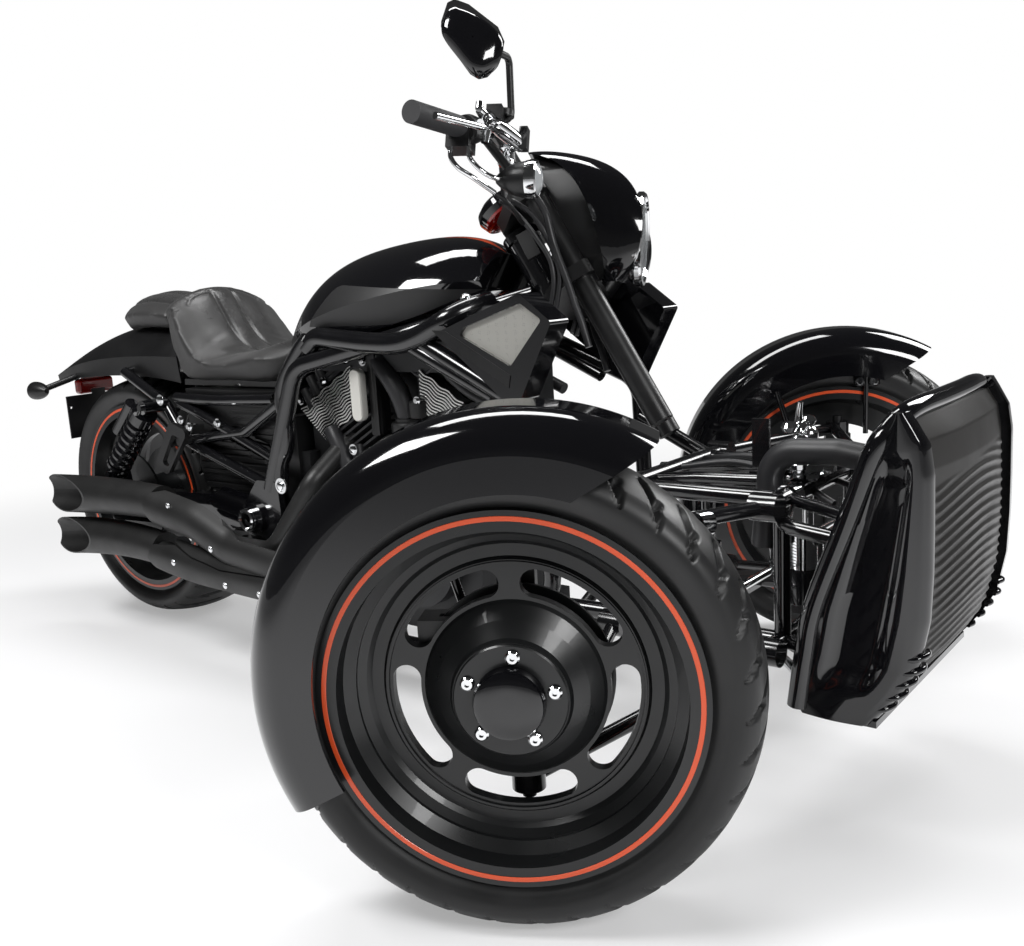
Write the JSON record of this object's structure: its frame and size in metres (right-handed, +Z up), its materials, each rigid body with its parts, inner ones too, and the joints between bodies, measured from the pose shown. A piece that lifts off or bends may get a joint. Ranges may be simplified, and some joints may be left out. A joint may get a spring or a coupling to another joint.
{
  "type": "motorized trike",
  "caption": "Motorized trike with steered front wheels under full fenders, a front radiator shroud, a bucket seat, a finned twin engine and one wide rear wheel.",
  "frame": {"origin": "on the ground under the centre of the whole vehicle's box, on its centre plane", "axes": "+X to the vehicle's left, -Y forward, +Z up; the steering is turned to the left stop at rest, as in the picture"},
  "size_m": [1.6881, 2.4627, 1.2908],
  "materials": {
    "gloss_black": "gloss black paint",
    "satin_black": "satin black coating",
    "frame_black": "gloss black powder coat on tube",
    "wheel_black": "semi-gloss black cast wheel",
    "engine_grey": "dark grey wrinkle coating",
    "exhaust_black": "matt black ceramic coating",
    "polished": "polished aluminium",
    "chrome": "bright chrome",
    "mesh_silver": "silver wire mesh",
    "tyre_rubber": "tyre tread rubber",
    "grip_rubber": "moulded grip rubber",
    "hose_rubber": "smooth hose rubber",
    "belt_rubber": "toothed belt rubber",
    "seat_leather": "black grained leather",
    "nose_plastic": "matt ribbed moulding",
    "core_metal": "black finned core",
    "lamp_glass": "clear lamp glass",
    "red_lens": "red lens"
  },
  "bodies": {
    "chassis": {"steering_neck": "frame_black", "frame_upper_rails": "frame_black", "frame_lower_rails": "frame_black", "frame_struts": "frame_black", "pivot_shaft": "chrome", "swingarm": "polished", "rear_axle": "chrome", "rear_shocks": "gloss_black", "engine_case": "engine_grey", "engine_cylinders": "engine_grey", "side_covers": "satin_black", "intake_covers": "gloss_black", "intake_grilles": "mesh_silver", "tank_cover": "gloss_black", "seat": "seat_leather", "pillion_pad": "seat_leather", "rear_fender": "satin_black", "tail_lamp": "red_lens", "plate_bracket": "satin_black", "rear_signals": "satin_black", "exhaust_pipes": "exhaust_black", "exhaust_shields": "exhaust_black", "peg_brackets": "satin_black", "rider_pegs": "satin_black", "drive_belt": "belt_rubber", "front_subframe": "frame_black", "control_arms": "frame_black", "front_tower": "polished", "radiator_shroud": "gloss_black", "radiator_nose": "nose_plastic", "radiator_core": "core_metal", "radiator_hose": "hose_rubber"},
    "bars": {"fork_legs": "gloss_black", "handlebar": "satin_black", "grips": "grip_rubber", "hand_controls": "chrome", "mirrors": "satin_black", "front_signals": "satin_black", "headlamp": "lamp_glass", "cowl": "gloss_black"},
    "relay": {"steering_relay": "satin_black"},
    "tie_rod_right": {"tie_rod_right": "chrome"},
    "tie_rod_left": {"tie_rod_left": "chrome"},
    "knuckle_right": {"knuckle_right": "satin_black", "fender_front_right": "gloss_black"},
    "knuckle_left": {"knuckle_left": "satin_black", "fender_front_left": "gloss_black"},
    "wheel_front_right": {"wheel_front_right": "wheel_black", "tyre_front_right": "tyre_rubber"},
    "wheel_front_left": {"wheel_front_left": "wheel_black", "tyre_front_left": "tyre_rubber"},
    "wheel_rear": {"wheel_rear": "wheel_black", "tyre_rear": "tyre_rubber"}
  },
  "joints": [
    {"name": "steering", "type": "hinge", "parent": "chassis", "child": "bars", "pos_m": [0, -0.4155, 0.87], "axis": [0, 0.5299, 0.848], "range_deg": [-60, 0]},
    {"name": "kingpin_right", "type": "hinge", "parent": "chassis", "child": "knuckle_right", "pos_m": [-0.57, -0.7805, 0.325], "axis": [0, 0, 1], "range_deg": [-60, 0]},
    {"name": "tie_rod_right_pin", "type": "hinge", "parent": "knuckle_right", "child": "tie_rod_right", "pos_m": [-0.515, -0.87576, 0.322], "axis": [0, 0, 1], "range_deg": [0, 60]},
    {"name": "wheel_front_right_spin", "type": "hinge", "parent": "knuckle_right", "child": "wheel_front_right", "pos_m": [-0.62196, -0.8105, 0.325], "axis": [0.866, 0.5, 0], "continuous": true},
    {"name": "kingpin_left", "type": "hinge", "parent": "chassis", "child": "knuckle_left", "pos_m": [0.57, -0.7805, 0.325], "axis": [0, 0, 1], "range_deg": [-60, 0]},
    {"name": "tie_rod_left_pin", "type": "hinge", "parent": "knuckle_left", "child": "tie_rod_left", "pos_m": [0.625, -0.87576, 0.344], "axis": [0, 0, 1], "range_deg": [0, 60]},
    {"name": "wheel_front_left_spin", "type": "hinge", "parent": "knuckle_left", "child": "wheel_front_left", "pos_m": [0.62196, -0.7505, 0.325], "axis": [0.866, 0.5, 0], "continuous": true},
    {"name": "relay_post", "type": "hinge", "parent": "chassis", "child": "relay", "pos_m": [0, -0.7805, 0.32], "axis": [0, 0, 1], "range_deg": [-60, 0]},
    {"name": "wheel_rear_spin", "type": "hinge", "parent": "chassis", "child": "wheel_rear", "pos_m": [0, 0.8595, 0.325], "axis": [1, 0, 0], "continuous": true}
  ],
  "couplings": [
    {"joint": "kingpin_right", "follows": "steering", "ratio": 1},
    {"joint": "tie_rod_right_pin", "follows": "steering", "ratio": -1},
    {"joint": "kingpin_left", "follows": "steering", "ratio": 1},
    {"joint": "tie_rod_left_pin", "follows": "steering", "ratio": -1},
    {"joint": "relay_post", "follows": "steering", "ratio": 1}
  ]
}
